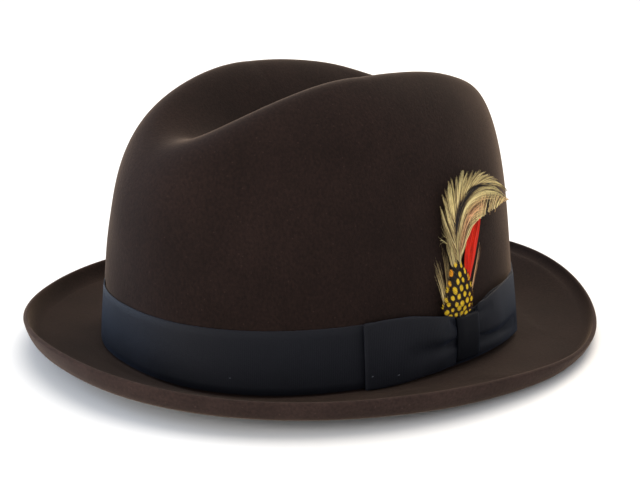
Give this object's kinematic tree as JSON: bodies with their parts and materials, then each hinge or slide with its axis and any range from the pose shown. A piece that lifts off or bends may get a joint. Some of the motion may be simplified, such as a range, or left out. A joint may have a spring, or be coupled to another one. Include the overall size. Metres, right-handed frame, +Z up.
{
  "type": "felt fedora with ribbon and feathers",
  "caption": "Felt fedora with a centre dent, curled brim, grosgrain ribbon, flat side bow and a tucked feather trim; it stands on its brim.",
  "frame": {"origin": "on the surface that the hat stands on, under the middle of the bounding box", "axes": "+Z up through the crown, -Y towards the front of the hat, +X towards the wearer's left, where the bow and the feathers are"},
  "size_m": [0.2538, 0.2808, 0.1266],
  "materials": {
    "felt": "soft brushed fur felt",
    "grosgrain": "ribbed ribbon, low sheen",
    "spotted_feather": "black feather with yellow spots",
    "red_feather": "dyed feather, soft sheen",
    "cream_feather": "striped hackle, soft sheen"
  },
  "bodies": {
    "root": {"felt_body": "felt", "ribbon_band": "grosgrain", "bow_front_wing": "grosgrain", "bow_back_wing": "grosgrain", "bow_knot": "grosgrain", "guinea_feather": "spotted_feather", "red_feather": "red_feather", "hackle_feather": "cream_feather"}
  },
  "joints": []
}
